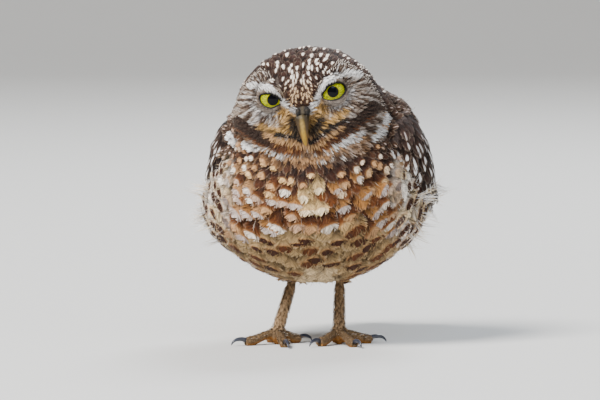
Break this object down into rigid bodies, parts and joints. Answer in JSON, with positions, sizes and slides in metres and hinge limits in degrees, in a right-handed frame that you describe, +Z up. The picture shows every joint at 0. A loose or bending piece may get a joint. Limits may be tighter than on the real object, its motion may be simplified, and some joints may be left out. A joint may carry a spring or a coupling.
{
  "type": "burrowing owl",
  "caption": "Small long-legged owl standing with its head lowered and turned to face ahead, plumage fluffed, as a still life-size model.",
  "frame": {"origin": "on the floor, under the middle of the bird's outline seen from above", "axes": "+Z up; the bird looks along -Y, turned about seven degrees towards -X; +X is its left side; the tail points along +Y"},
  "size_m": [0.1258, 0.162, 0.1594],
  "materials": {
    "brown_plumage": "soft matte feathers, brown with white and buff spots",
    "pale_plumage": "soft matte feathers, cream with brown bars",
    "leg_bristle": "short bristly feathers, matte buff brown",
    "bill_horn": "satin horn, olive yellow",
    "cere_skin": "dark matte skin",
    "eye": "wet glossy eye, yellow iris round a black pupil",
    "toe_skin": "scaly grey-brown skin with orange pads",
    "claw_horn": "polished dark horn"
  },
  "bodies": {
    "root": {"head": "brown_plumage", "neck": "brown_plumage", "breast": "brown_plumage", "belly": "pale_plumage", "back": "brown_plumage", "rump": "brown_plumage", "bill_upper": "bill_horn", "bill_lower": "bill_horn", "cere": "cere_skin", "eye_right": "eye", "wing_right": "brown_plumage", "flight_feathers_right": "brown_plumage", "eye_left": "eye", "wing_left": "brown_plumage", "flight_feathers_left": "brown_plumage", "tail": "brown_plumage", "thigh_right": "pale_plumage", "tarsus_right": "leg_bristle", "foot_right": "toe_skin", "toe_right_outer": "toe_skin", "claw_right_outer": "claw_horn", "toe_right_middle": "toe_skin", "claw_right_middle": "claw_horn", "toe_right_inner": "toe_skin", "claw_right_inner": "claw_horn", "toe_right_hind": "toe_skin", "claw_right_hind": "claw_horn", "thigh_left": "pale_plumage", "tarsus_left": "leg_bristle", "foot_left": "toe_skin", "toe_left_inner": "toe_skin", "claw_left_inner": "claw_horn", "toe_left_middle": "toe_skin", "claw_left_middle": "claw_horn", "toe_left_outer": "toe_skin", "claw_left_outer": "claw_horn", "toe_left_hind": "toe_skin", "claw_left_hind": "claw_horn"}
  },
  "joints": []
}
